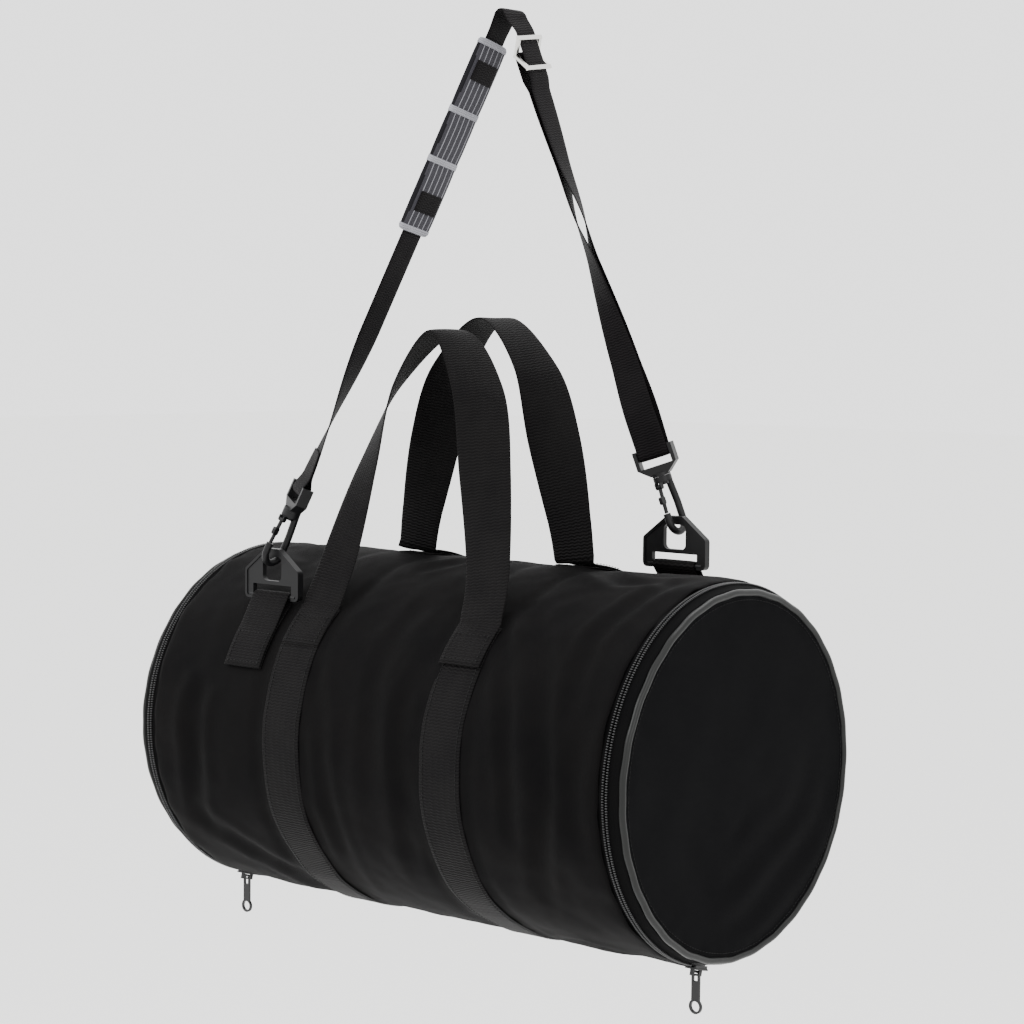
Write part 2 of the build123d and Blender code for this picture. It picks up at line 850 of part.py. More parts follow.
def make_strap():
    def apart(height):
        """The top layer of the doubled run closes in just before the peg."""
        to_go = rear_run.length - height
        return layer_offset * smooth(to_go / twist_length)

    rear_top = [
        (point, -along, across)
        for point, along, across in rear_run.stations(rear_run.length, 0, apart)
    ]
    front_bottom = front_run.stations(sewn_closing, front_run.length, lambda height: 0)
    half = strap_thickness / 2
    with BuildPart() as strap:
        add(ribbon(front_bottom + over_peg() + rear_top, strap_width, strap_thickness).part)
        add(
            ribbon(
                front_run.stations(sewn_closing - half, sewn_length, lambda height: 0),
                strap_width,
                2 * strap_thickness,
            ).part
        )
        for face in (-1, 1):
            foot = front_run.station(0, face * layer_offset)
            head = front_run.station(sewn_closing, face * half)
            along = unit(head[0] - foot[0])
            foot_end = (foot[0] - along * half, along, foot[2])
            add(
                ribbon(
                    [foot_end, (head[0], along, head[2])], strap_width, strap_thickness
                ).part
            )
        add(turn_round(front_run, 0, 0, layer_offset, True).part)
        add(turn_round(rear_run, 0, 0, layer_offset, True).part)
        add(
            ribbon(
                rear_run.stations(0, glide_height, lambda height: -layer_offset),
                strap_width,
                strap_thickness,
            ).part
        )
        core_turn = glide_core_offset + layer_offset
        add(turn_round(rear_run, glide_height, glide_core_offset, core_turn, False).part)
        tail = glide_core_offset + core_turn
        add(
            ribbon(
                rear_run.stations(glide_height - end_tail, glide_height, lambda height: tail),
                strap_width,
                strap_thickness,
            ).part
        )
    save(strap, "shoulder_strap")


def make_glide():
    """The adjuster: a round core inside the end loop, and two rails over the top layer."""
    rail_offset = layer_offset + (strap_thickness + glide_thickness) / 2 + glide_clearance
    rail_at = (glide_length - glide_rail) / 2
    inside = strap_width / 2 + glide_clearance
    point, along, across = rear_run.station(glide_height, 0)
    face = across.cross(along)
    side = Plane(origin=point, x_dir=along, z_dir=along.cross(face))
    with BuildPart() as glide:
        for edge in (-1, 1):
            with BuildSketch(side.offset(edge * (inside + glide_side / 2))):
                with BuildLine():
                    Polyline(
                        (-rail_at, rail_offset), (0, glide_core_offset), (rail_at, rail_offset)
                    )
                trace(line_width=glide_thickness)
                with Locations((0, glide_core_offset)):
                    Circle(glide_core_radius)
            extrude(amount=glide_side / 2, both=True)
            with BuildSketch(side):
                with Locations((edge * rail_at, rail_offset)):
                    RectangleRounded(glide_rail, glide_thickness, glide_thickness / 4)
            extrude(amount=inside + glide_side, both=True)
        with BuildSketch(side):
            with Locations((0, glide_core_offset)):
                Circle(glide_core_radius)
        extrude(amount=inside + glide_side, both=True)
    save(glide, "strap_adjuster")


def make_pad():
    """A padded sleeve on the front run, with two windows and four bands on its face."""
    length = front_run.length
    top = length - pad_top
    middle = front_run.plane(top - pad_length / 2)
    slot_width = strap_width + 2 * pad_slot_clearance
    slot_height = strap_thickness + 2 * pad_slot_clearance
    window_at = pad_length / 2 - pad_window_inset - pad_window / 2
    with BuildPart() as pad:
        with BuildSketch(middle):
            RectangleRounded(pad_width, pad_length, pad_corner)
        extrude(amount=pad_thickness / 2, both=True)
        with BuildSketch(middle):
            Rectangle(slot_width, pad_length)
        extrude(amount=slot_height / 2, both=True, mode=Mode.SUBTRACT)
        with BuildSketch(middle):
            with Locations((0, -window_at), (0, window_at)):
                Rectangle(strap_width, pad_window)
        extrude(amount=pad_thickness, mode=Mode.SUBTRACT)
    save(pad, "shoulder_pad")
    for index, place in enumerate(pad_band_places):
        with BuildPart() as strip:
            with BuildSketch(middle.offset(pad_thickness / 2)):
                with Locations((0, pad_length / 2 - place - pad_band / 2)):
                    Rectangle(pad_width - 2 * pad_corner, pad_band)
            extrude(amount=pad_band_height)
        save(strip, f"pad_band_{index + 1}")


# ---------------------------------------------------------------- the whole bag

os.makedirs("parts", exist_ok=True)
make_barrel()
for end_name, end_side in (("left", -1), ("right", 1)):
    make_door(end_name, end_side)
    make_barrel_zip(end_name, end_side)
    make_slider(end_name, end_side)
    make_pull(end_name, end_side)
make_handles()
make_ring("front", front_bar)
make_ring("rear", rear_bar)
make_tab("front", front_bar, front_tab_seam, front_tab_start)
make_tab("rear", rear_bar, rear_tab_seam, rear_tab_end)
make_hook("front", front_frame)
make_hook("rear", rear_frame)
make_strap()
make_glide()
make_pad()
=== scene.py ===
# %% [markdown]
# # A barrel bag, hung by its shoulder strap
# The bag is a tube of woven polyester with a zipped round door at each end, two webbing carry
# handles and a padded shoulder strap on snap hooks. The moulded and metal pieces keep their CAD
# shape and get a finish. Everything that is sewn is made again here as cloth and webbing.

from math import cos, exp, pi, radians, sin

import bpy
from mathutils import Matrix, Vector, noise


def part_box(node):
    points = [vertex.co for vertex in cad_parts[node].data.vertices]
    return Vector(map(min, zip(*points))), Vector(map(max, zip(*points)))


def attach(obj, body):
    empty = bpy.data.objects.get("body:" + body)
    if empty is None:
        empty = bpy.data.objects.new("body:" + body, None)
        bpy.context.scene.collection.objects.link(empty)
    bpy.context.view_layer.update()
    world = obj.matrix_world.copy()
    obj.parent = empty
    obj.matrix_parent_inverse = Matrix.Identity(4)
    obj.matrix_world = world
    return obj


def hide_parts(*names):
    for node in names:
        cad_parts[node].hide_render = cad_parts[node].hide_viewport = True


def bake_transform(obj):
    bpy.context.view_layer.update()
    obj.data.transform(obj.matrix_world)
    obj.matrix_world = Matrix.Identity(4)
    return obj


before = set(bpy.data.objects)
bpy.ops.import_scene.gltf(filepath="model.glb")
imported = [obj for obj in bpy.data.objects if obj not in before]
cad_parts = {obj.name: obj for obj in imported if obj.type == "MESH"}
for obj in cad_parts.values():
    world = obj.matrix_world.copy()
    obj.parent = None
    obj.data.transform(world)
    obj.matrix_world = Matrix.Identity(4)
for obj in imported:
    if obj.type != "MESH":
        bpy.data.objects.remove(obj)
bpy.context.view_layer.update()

# %% Sizes of the bag
MM = 0.001
MIDDLE = Vector((-0.020, 0.0, -0.556))  # the middle of the barrel, from the peg
RADIUS = 0.140
SHELL_HALF = 0.230
BODY_WEB = 0.040
BODY_WEB_THICK = 0.0016
WEB_X = 0.083
STRAP_WEB = 0.025
STRAP_WEB_THICK = 0.0013


# %% [markdown]
# ## Camera
# The bag hangs a little above the eye line and is seen from the front right corner, with a long
# lens, so the barrel's two ends are nearly the same size. The camera is placed by its direction
# and distance from a point above the middle of the bag.

# %% Camera
AZIMUTH, ELEVATION, DISTANCE, ROLL = radians(41.47), radians(3.98), 2.0028, radians(0.6)
aim = Vector((0.0071, 0.0, -0.3774))
back = Vector((sin(AZIMUTH) * cos(ELEVATION), -cos(AZIMUTH) * cos(ELEVATION), sin(ELEVATION)))
camera_data = bpy.data.cameras.new("studio_camera")
camera_data.lens = 91.4
camera_data.sensor_width = 36.0
camera = bpy.data.objects.new("studio_camera", camera_data)
bpy.context.collection.objects.link(camera)
camera.matrix_world = (
    Matrix.Translation(aim + back * DISTANCE)
    @ back.to_track_quat("Z", "Y").to_matrix().to_4x4()
    @ Matrix.Rotation(ROLL, 4, "Z")
)
bpy.context.scene.camera = camera
print("camera at", [round(c, 3) for c in camera.location])

# %% [markdown]
# ## Floor and studio light
# A large soft box from the upper left front gives the black cloth its long highlight, a second
# from the right lights the round door, and a pale world fills the shadows. The floor is far
# enough below for its shadow to stay out of sight.

# %% Floor and lights


def to_linear(code):
    """A colour written as sRGB hex, turned to the linear values that Blender's sockets take."""
    channels = [int(code[i : i + 2], 16) / 255 for i in (1, 3, 5)]
    linear = [c / 12.92 if c <= 0.04045 else ((c + 0.055) / 1.055) ** 2.4 for c in channels]
    return (*linear, 1.0)


def add_node(tree, kind, inputs=None, **settings):
    """Adds a node. An input is either a value or another node's output socket."""
    made = tree.nodes.new(kind)
    for key, value in settings.items():
        setattr(made, key, value)
    for key, value in (inputs or {}).items():
        if isinstance(value, bpy.types.NodeSocket):
            tree.links.new(value, made.inputs[key])
        else:
            made.inputs[key].default_value = value
    return made


def new_material(name, colour, roughness, **sockets):
    """A Principled material with constant values set on the shader's own sockets."""
    material = bpy.data.materials.new(name)
    material.use_nodes = True
    shader = material.node_tree.nodes["Principled BSDF"]
    shader.inputs["Base Color"].default_value = to_linear(colour)
    shader.inputs["Roughness"].default_value = roughness
    for key, value in sockets.items():
        shader.inputs[key.replace("_", " ")].default_value = value
    material.diffuse_color = to_linear(colour)
    return material, material.node_tree, shader


def area_light(name, place, target, size, watts):
    """A square soft box that faces a target."""
    data = bpy.data.lights.new(name, "AREA")
    data.shape = "RECTANGLE"
    data.size, data.size_y = size
    data.energy = watts
    lamp = bpy.data.objects.new(name, data)
    bpy.context.collection.objects.link(lamp)
    direction = Vector(place) - Vector(target)
    lamp.matrix_world = (
        Matrix.Translation(place) @ direction.to_track_quat("Z", "Y").to_matrix().to_4x4()
    )
    return lamp


world = bpy.data.worlds.new("pale_studio")
world.use_nodes = True
world.node_tree.nodes["Background"].inputs["Color"].default_value = (1, 1, 1, 1)
world.node_tree.nodes["Background"].inputs["Strength"].default_value = 2.2
bpy.context.scene.world = world
area_light("key_soft_box", (-1.3, -2.2, 1.3), MIDDLE, (1.8, 1.2), 55)
area_light("side_soft_box", (2.4, -1.0, 0.7), MIDDLE, (1.2, 1.6), 24)
area_light("top_soft_box", (0.1, 0.6, 1.7), MIDDLE, (1.6, 1.0), 26)

floor_material, _, _ = new_material("painted_pale_floor", "#fbfbfa", 0.9)
floor_mesh = bpy.data.meshes.new("floor")
reach, drop = 30.0, -1.6
floor_mesh.from_pydata(
    [(-reach, -reach, drop), (reach, -reach, drop), (reach, reach, drop), (-reach, reach, drop)],
    [],
    [(0, 1, 2, 3)],
)
floor_mesh.materials.append(floor_material)
floor_object = bpy.data.objects.new("floor", floor_mesh)
bpy.context.collection.objects.link(floor_object)

# %% [markdown]
# ## Cloth, webbing and moulding finishes
# Every cloth here is black, so what tells them apart is how the surface was made. The shell is a
# plain weave of 600 denier polyester: dull, with a faint grain and slightly uneven dye. Webbing
# is woven with heavy ribs across it. The patterns read a UV map in metres that each sewn piece
# carries, so a rib always lies square to its strap.

# %% Woven polyester
WEAVE_PITCH = 0.0011  # two real threads: one thread, 0.5 mm, is too fine to show


def weave_height(tree, pitch):
    """Threads over and under, as a height from 0 to 1, from a UV map in metres."""
    uv = add_node(tree, "ShaderNodeUVMap", uv_map="cloth")
    split = add_node(tree, "ShaderNodeSeparateXYZ", {"Vector": uv.outputs["UV"]})
    waves = []
    for axis in ("X", "Y"):
        turns = add_node(
            tree,
            "ShaderNodeMath",
            {0: split.outputs[axis], 1: 2 * pi / pitch},
            operation="MULTIPLY",
        )
        waves.append(
            add_node(tree, "ShaderNodeMath", {0: turns.outputs[0]}, operation="SINE").outputs[0]
        )
    both = add_node(tree, "ShaderNodeMath", {0: waves[0], 1: waves[1]}, operation="MULTIPLY")
    return add_node(
        tree, "ShaderNodeMath", {0: both.outputs[0], 1: 0.5, 2: 0.5}, operation="MULTIPLY_ADD"
    ).outputs[0]


def add_bump(tree, shader, height, distance, strength=1.0):
    """Feeds a height to the shader's normal; distance is the relief in metres."""
    bump = add_node(
        tree,
        "ShaderNodeBump",
        {"Height": height, "Distance": distance, "Strength": strength},
    )
    tree.links.new(bump.outputs["Normal"], shader.inputs["Normal"])


def mottled(tree, shader, dark, light, size, detail_height=None):
    """Colour between two hexes by soft noise of a size in metres, on Object coordinates."""
    place = add_node(tree, "ShaderNodeTexCoord")
    cloud = add_node(
        tree,
        "ShaderNodeTexNoise",
        {"Vector": place.outputs["Object"], "Scale": 1 / size, "Detail": 5.0, "Roughness": 0.6},
    )
    value = cloud.outputs["Fac"]
    if detail_height is not None:
        value = add_node(
            tree,
            "ShaderNodeMath",
            {0: detail_height, 1: 0.45, 2: value},
            operation="MULTIPLY_ADD",
        ).outputs[0]
    ramp = add_node(tree, "ShaderNodeValToRGB", {"Fac": value})
    ramp.color_ramp.elements[0].position = 0.35
    ramp.color_ramp.elements[0].color = to_linear(dark)
    ramp.color_ramp.elements[1].position = 0.95
    ramp.color_ramp.elements[1].color = to_linear(light)
    tree.links.new(ramp.outputs["Color"], shader.inputs["Base Color"])
    return cloud.outputs["Fac"]


def woven_cloth(name, dark, light, roughness, relief=0.00012):
    """Dull plain-weave cloth: the sheen is the fuzz of cut fibres that stand off the yarn."""
    material, tree, shader = new_material(
        name, dark, roughness, IOR=1.5, Specular_IOR_Level=0.03, Sheen_Weight=0.004
    )
    height = weave_height(tree, WEAVE_PITCH)
    mottled(tree, shader, dark, light, 0.05, height)
    add_bump(tree, shader, height, relief)
    return material


shell_cloth = woven_cloth("woven_polyester_shell", "#050506", "#0b0a0a", 0.72)
door_cloth = woven_cloth("woven_polyester_door", "#040405", "#080809", 0.78)
gusset_cloth = woven_cloth("woven_polyester_gusset", "#050506", "#0a0a0b", 0.75)
binding_tape = woven_cloth("folded_seam_binding", "#060607", "#0b0b0b", 0.7)
zip_tape_cloth = woven_cloth("woven_zip_tape", "#040405", "#080808", 0.8)

# %% Ribbed webbing

def ribbed_webbing(name, dark, light, pitch, relief):
    """Webbing: weft ribs straight across, bent slightly by the warp that crosses them."""
    material, tree, shader = new_material(
        name, dark, 0.62, IOR=1.49, Specular_IOR_Level=0.05, Sheen_Weight=0.004
    )
    uv = add_node(tree, "ShaderNodeUVMap", uv_map="cloth")
    split = add_node(tree, "ShaderNodeSeparateXYZ", {"Vector": uv.outputs["UV"]})
    warp = add_node(
        tree,
        "ShaderNodeMath",
        {0: split.outputs["X"], 1: 2 * pi / (2.5 * pitch)},
        operation="MULTIPLY",
    )
    warp_wave = add_node(tree, "ShaderNodeMath", {0: warp.outputs[0]}, operation="SINE")
    rib = add_node(
        tree,
        "ShaderNodeMath",
        {0: split.outputs["Y"], 1: 2 * pi / pitch},
        operation="MULTIPLY",
    )
    shifted = add_node(
        tree,
        "ShaderNodeMath",
        {0: warp_wave.outputs[0], 1: 0.9, 2: rib.outputs[0]},
        operation="MULTIPLY_ADD",
    )
    rib_wave = add_node(tree, "ShaderNodeMath", {0: shifted.outputs[0]}, operation="SINE")
    height = add_node(
        tree, "ShaderNodeMath", {0: rib_wave.outputs[0], 1: 0.5, 2: 0.5}, operation="MULTIPLY_ADD"
    ).outputs[0]
    mottled(tree, shader, dark, light, 0.03, height)
    add_bump(tree, shader, height, relief)
    return material


body_webbing = ribbed_webbing("ribbed_polypropylene_webbing", "#060506", "#100f0f", 0.0024, 0.0004)
strap_webbing = ribbed_webbing("ribbed_strap_webbing", "#060506", "#110f10", 0.0021, 0.0003)

# %% Moulded, metal and trim finishes


def moulded(name, colour, roughness, grain, **sockets):
    """Moulding or enamel: even colour with a fine uneven skin, its grain in metres."""
    material, tree, shader = new_material(name, colour, roughness, **sockets)
    place = add_node(tree, "ShaderNodeTexCoord")
    skin = add_node(
        tree,
        "ShaderNodeTexNoise",
        {"Vector": place.outputs["Object"], "Scale": 1 / grain, "Detail": 3.0},
    )
    spread = add_node(
        tree,
        "ShaderNodeMapRange",
        {"Value": skin.outputs["Fac"], "To Min": roughness - 0.06, "To Max": roughness + 0.08},
    )
    tree.links.new(spread.outputs["Result"], shader.inputs["Roughness"])
    add_bump(tree, shader, skin.outputs["Fac"], grain * 0.04)
    return material


# Acetal is moulded against a spark-eroded tool, which leaves it satin with a soft broad highlight.
acetal = moulded("moulded_black_acetal", "#0b0b0c", 0.4, 0.0012, IOR=1.48, Specular_IOR_Level=0.2)
# Stoved enamel on the die-cast slider is smoother, so its highlight is small and bright.
enamel = moulded("black_stoved_enamel", "#0a0a0b", 0.3, 0.002, IOR=1.5, Specular_IOR_Level=0.3)
# Nickel plate over steel wire, tumbled: a bright metal with a soft blur.
nickel = moulded("satin_nickel_plate", "#d9d8d4", 0.3, 0.0015, Metallic=1.0)
# Nylon coil, drawn and heat set.
coil_nylon = moulded("heat_set_nylon_coil", "#161617", 0.42, 0.001, IOR=1.53)
# Thread is twisted polyester, a little shinier than the cloth it is sewn through.
thread = moulded(
    "bonded_polyester_thread", "#0b0b0b", 0.55, 0.0004, IOR=1.5, Specular_IOR_Level=0.15
)
# Piping cord in a calendered cover: nearly black, with a dull grey sheen along its crown.
piping_cover = moulded(
    "calendered_piping_cover", "#0e0f0e", 0.36, 0.003, IOR=1.5, Specular_IOR_Level=0.22
)

for node_name, finish in (
    ("strap_ring_front", acetal),
    ("strap_ring_rear", acetal),
    ("snap_hook_front", acetal),
    ("snap_hook_rear", acetal),
    ("hook_gate_front", acetal),
    ("hook_gate_rear", acetal),
    ("swivel_yoke_front", acetal),
    ("swivel_yoke_rear", acetal),
    ("strap_adjuster", nickel),
    ("zip_slider_left", enamel),
    ("zip_slider_right", enamel),
    ("zip_pull_left", enamel),
    ("zip_pull_right", enamel),
    ("zip_stops_left", coil_nylon),
    ("zip_stops_right", coil_nylon),
):
    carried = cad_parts[node_name]
    carried.data.materials.clear()
    carried.data.materials.append(finish)
print("finishes:", len(bpy.data.materials))

# %% [markdown]
# ## Sewn pieces as sections along a path
# Webbing, tape and piping are long pieces with one section. A section is carried along stations,
# each a point with the direction across the webbing there, so twists and folds come from how the
# stations turn. The UV map is in metres: U across the piece and V along it.

# %% Mesh helpers


def smooth(share):
    """A soft step from 0 to 1."""
    share = min(max(share, 0.0), 1.0)
    return share * share * (3 - 2 * share)


def stepped(stops, place):
    """A value that moves softly between (place, value) stops."""
    value = stops[0][1]
    for (start, before), (end, after) in zip(stops, stops[1:]):
        value += (after - before) * smooth((place - start) / (end - start))
    return value


def square_to(vector, direction):
    """The part of a vector that is square to a direction, at unit length."""
    return (vector - direction * vector.dot(direction)).normalized()


def make_piece(name, points, faces, uvs, material, body, replaced=()):
    """A mesh object with its UV in metres and the given finish, riding on a body when one is
    named.
    """
    mesh = bpy.data.meshes.new(name)
    mesh.from_pydata([tuple(p) for p in points], [], faces)
    layer = mesh.uv_layers.new(name="cloth")
    for loop in mesh.loops:
        layer.data[loop.index].uv = uvs[loop.vertex_index]
    for polygon in mesh.polygons:
        polygon.use_smooth = True
    mesh.materials.append(material)
    piece = bpy.data.objects.new(name, mesh)
    bpy.context.collection.objects.link(piece)
    if body:
        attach(piece, body)
    if replaced:
        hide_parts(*replaced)
    return piece


def tube_faces(rings, around, closed):
    """Quads between rings of points, with end caps unless the rings close on themselves."""
    faces = []
    for ring in range(rings if closed else rings - 1):
        first, second = ring * around, ((ring + 1) % rings) * around
        for step in range(around):
            after = (step + 1) % around
            faces.append((first + step, first + after, second + after, second + step))
    if not closed:
        faces.append(tuple(reversed(range(around))))
        faces.append(tuple((rings - 1) * around + step for step in range(around)))
    return faces


def web_section(width, thickness, cup=0.0, count=12):
    """Webbing's section as (across, out): flat faces with rolled selvedges, and a slight cup."""
    top = []
    for index in range(count + 1):
        share = -1 + 2 * index / count
        share *= 1.5 - 0.5 * share * share
        rise = (1 - abs(share) ** 6) ** 0.5
        top.append((share * width / 2, thickness / 2 * rise, -cup * share * share))
    ring = [(a, o + c) for a, o, c in top] + [(a, c - o) for a, o, c in reversed(top[1:-1])]
    return list(reversed(ring))


def along_path(points):
    """Unit tangents of a list of points."""
    last = len(points) - 1
    return [
        (points[min(i + 1, last)] - points[max(i - 1, 0)]).normalized() for i in range(last + 1)
    ]


def webbing(name, stations, width, thickness, material, body, replaced=(), cup=0.0):
    """A webbing strip through (point, across) stations."""
    section = web_section(width, thickness, cup)
    places = [point for point, _ in stations]
    tangents = along_path(places)
    points, uvs, run = [], [], 0.0
    for index, ((point, across), tangent) in enumerate(zip(stations, tangents)):
        if index:
            run += (point - places[index - 1]).length
        side = square_to(across, tangent)
        out = side.cross(tangent)
        for a, o in section:
            points.append(point + side * a + out * o)
            uvs.append((a + width / 2, run))
    faces = tube_faces(len(stations), len(section), False)
    piece = make_piece(name, points, faces, uvs, material, body, replaced)
    print(name, "is", round(run * 1000), "mm of webbing")
    return piece


def smooth_path(controls, step):
    """Points about a step apart on a Catmull-Rom curve through the controls."""
    ends = [controls[0] * 2 - controls[1]] + list(controls) + [controls[-1] * 2 - controls[-2]]
    points = []
    for a, b, c, d in zip(ends, ends[1:], ends[2:], ends[3:]):
        count = max(2, round((c - b).length / step))
        for index in range(count):
            t = index / count
            points.append(
                0.5
                * (
                    2 * b
                    + (c - a) * t
                    + (2 * a - 5 * b + 4 * c - d) * t * t
                    + (3 * b - a - 3 * c + d) * t * t * t
                )
            )
    points.append(controls[-1].copy())
    return points


# %% [markdown]
# ## The barrel's skin
# The shell is one tube of cloth with no frame in it, so it hangs in long shallow folds that start
# where something pulls: beside the straps, at the tabs and along the zips. Each fold is a line on
# the unrolled cloth with a width and a depth, and the webbing that is sewn on follows the same
# skin. Modelled folds were chosen over a cloth simulation because each one has a known cause and
# place, and they run the same way every time.

# %% Folds in the cloth
# Each fold: half width and depth in mm, then (mm along the barrel, degrees round it) stops
FOLDS = (
    (9, 3.2, ((112, 150), (150, 132), (168, 116), (184, 88), (172, 68), (158, 50))),
    (7, 2.2, ((96, 143), (124, 124), (138, 112), (150, 88), (146, 70))),
    (10, 3.6, ((-176, 108), (-183, 100), (-184, 78), (-196, 56))),
    (11, 2.8, ((-206, 64), (-162, 50), (-120, 38), (-110, 20))),
    (8, 2.6, ((204, 104), (192, 122), (190, 137), (200, 158), (214, 178))),
    (9, 2.0, ((212, 70), (206, 92), (214, 116))),
    (8, 1.8, ((-58, 118), (-40, 96), (-36, 60), (-50, 30))),
    (10, 1.6, ((18, 150), (6, 120), (14, 90), (2, 50))),
    (8, 1.8, ((52, 130), (40, 108), (46, 80), (36, 52))),
    (9, 2.4, ((-130, 150), (-150, 162), (-196, 172))),
    (9, 2.2, ((-30, 160), (0, 176), (34, 190))),
    (8, 2.2, ((120, 176), (160, 168), (210, 170))),
    (10, 3.0, ((-120, 216), (-160, 236), (-176, 270), (-170, 310))),
    (9, 2.6, ((-112, 230), (-138, 258), (-140, 300))),
    (10, 3.0, ((176, 262), (184, 285), (200, 312))),
    (9, 2.0, ((30, 210), (10, 245), (16, 290), (4, 330))),
    (8, 2.0, ((-50, 240), (-38, 280), (-48, 320))),
    (9, 2.2, ((60, 236), (44, 270), (50, 312))),
    (10, 2.4, ((204, 12), (160, 24), (120, 18))),
    (10, 2.4, ((-200, 340), (-150, 330), (-116, 344))),
    (8, 1.6, ((-60, 4), (-10, 12), (50, -4))),
)


def fold_drop(x, angle):
    """How far the folds draw the cloth in, in mm, at mm along the barrel and degrees round."""
    arc = RADIUS / MM * radians(angle)
    drop = 0.0
    for half_width, depth, stops in FOLDS:
        nearest, taper = 1e9, 0.0
        spans = len(stops) - 1
        for index in range(spans):
            (x0, a0), (x1, a1) = stops[index], stops[index + 1]
            s0, s1 = RADIUS / MM * radians(a0), RADIUS / MM * radians(a1)
            dx, ds = x1 - x0, s1 - s0
            along = ((x - x0) * dx + (arc - s0) * ds) / (dx * dx + ds * ds)
            held = min(max(along, 0.0), 1.0)
            away = ((x - x0 - dx * held) ** 2 + (arc - s0 - ds * held) ** 2) ** 0.5
            if away < nearest:
                nearest = away
                place = (index + held) / spans
                taper = (4 * place * (1 - place)) ** 0.6 if 0 < place < 1 else 0.0
        reach = nearest / half_width
        if reach < 3.5:
            drop += depth * taper * (exp(-reach * reach) - 0.45 * exp(-((reach - 1.6) ** 2) * 2))
    return drop


def skin_lift(x, angle):
    """The skin's height over the barrel's radius, in metres, at metres along and degrees round."""
    x_mm = x / MM
    lift = -fold_drop(x_mm, (angle + 40) % 360 - 40)
    arc = RADIUS / MM * radians(angle)
    for web_x in (-WEB_X, WEB_X):
        off = abs(x - web_x) / MM
        lift -= 1.3 * exp(-(((off - 27) / 7) ** 2))
    edge = (SHELL_HALF - abs(x)) / MM
    lift += 0.55 * sin(arc / 5.3 + 1.7 * sin(arc / 31)) * exp(-edge / 11)
    lift -= 1.4 * exp(-edge / 3)
    spot = Vector((x_mm / 46, cos(radians(angle)) * 3.1, sin(radians(angle)) * 3.1))
    lift += 2.0 * noise.noise(spot)
    fine = Vector((x_mm / 15, cos(radians(angle)) * 9.5, sin(radians(angle)) * 9.5))
    lift += 0.5 * noise.noise(fine)
    return (lift - 0.8) * MM


def out_of(angle):
    """The direction out of the barrel at an angle round it, from straight down by the front."""
    return Vector((0.0, -sin(radians(angle)), -cos(radians(angle))))


def on_skin(x, angle, above=0.0):
    """A point over the wrinkled skin."""
    return MIDDLE + Vector((x, 0, 0)) + out_of(angle) * (RADIUS + skin_lift(x, angle) + above)


def make_shell():
    """The tube of cloth, as a grid of quads about 3 mm apart, thickened inwards."""
    columns, rows = 155, 292
    points, uvs, faces = [], [], []
    for row in range(rows + 1):
        angle = 360 * row / rows
        for column in range(columns):
            x = -SHELL_HALF + 2 * SHELL_HALF * column / (columns - 1)
            if row < rows:
                points.append(on_skin(x, angle))
                uvs.append((x + SHELL_HALF, RADIUS * radians(angle)))
    for row in range(rows):
        after = (row + 1) % rows
        for column in range(columns - 1):
            a, b = row * columns + column, after * columns + column
            faces.append((a, b, b + 1, a + 1))
    shell = make_piece(
        "barrel_cloth", points, faces, uvs, shell_cloth, "bag", ("barrel_shell",)
    )
    wall = shell.modifiers.new("cloth_wall", "SOLIDIFY")
    wall.thickness, wall.offset = 0.0009, -1
    return shell


shell = make_shell()
print("barrel cloth:", len(shell.data.polygons), "quads")

# %% [markdown]
# ## Stitches and zip teeth
# A stitch repeats along a seam and a tooth along a zip, so one Geometry Nodes tree makes both: it
# sets a small rounded item at an even pitch along a curve and turns it to follow the curve. The
# result is turned into a plain mesh, one for each body.

# %% A tree that sets items along a path


def build_item_tree():
    """Named inputs: the pitch, the item's size across, out and along, and its across direction."""
    tree = bpy.data.node_groups.new("items_along_path", "GeometryNodeTree")
    face = tree.interface
    face.new_socket("Path", in_out="INPUT", socket_type="NodeSocketGeometry")
    face.new_socket("Pitch", in_out="INPUT", socket_type="NodeSocketFloat")
    face.new_socket("Item Size", in_out="INPUT", socket_type="NodeSocketVector")
    face.new_socket("Across", in_out="INPUT", socket_type="NodeSocketVector")
    face.new_socket("Finish", in_out="INPUT", socket_type="NodeSocketMaterial")
    face.new_socket("Items", in_out="OUTPUT", socket_type="NodeSocketGeometry")
    start = add_node(tree, "NodeGroupInput")
    steps = add_node(
        tree,
        "GeometryNodeResampleCurve",
        {"Curve": start.outputs["Path"], "Length": start.outputs["Pitch"]},
        mode="LENGTH",
    )
    ball = add_node(tree, "GeometryNodeMeshUVSphere", {"Segments": 8, "Rings": 5, "Radius": 0.5})
    tangent = add_node(tree, "GeometryNodeInputTangent")
    facing = add_node(
        tree,
        "FunctionNodeAlignRotationToVector",
        {"Vector": tangent.outputs["Tangent"]},
        axis="Z",
    )
    turned = add_node(
        tree,
        "FunctionNodeAlignRotationToVector",
        {"Rotation": facing.outputs["Rotation"], "Vector": start.outputs["Across"]},
        axis="X",
        pivot_axis="Z",
    )
    placed = add_node(
        tree,
        "GeometryNodeInstanceOnPoints",
        {
            "Points": steps.outputs["Curve"],
            "Instance": ball.outputs["Mesh"],
            "Rotation": turned.outputs["Rotation"],
            "Scale": start.outputs["Item Size"],
        },
    )
    real = add_node(
        tree, "GeometryNodeRealizeInstances", {"Geometry": placed.outputs["Instances"]}
    )
    finished = add_node(
        tree,
        "GeometryNodeSetMaterial",
        {"Geometry": real.outputs["Geometry"], "Material": start.outputs["Finish"]},
    )
    add_node(tree, "NodeGroupOutput", {"Items": finished.outputs["Geometry"]})
    return tree


item_tree = build_item_tree()


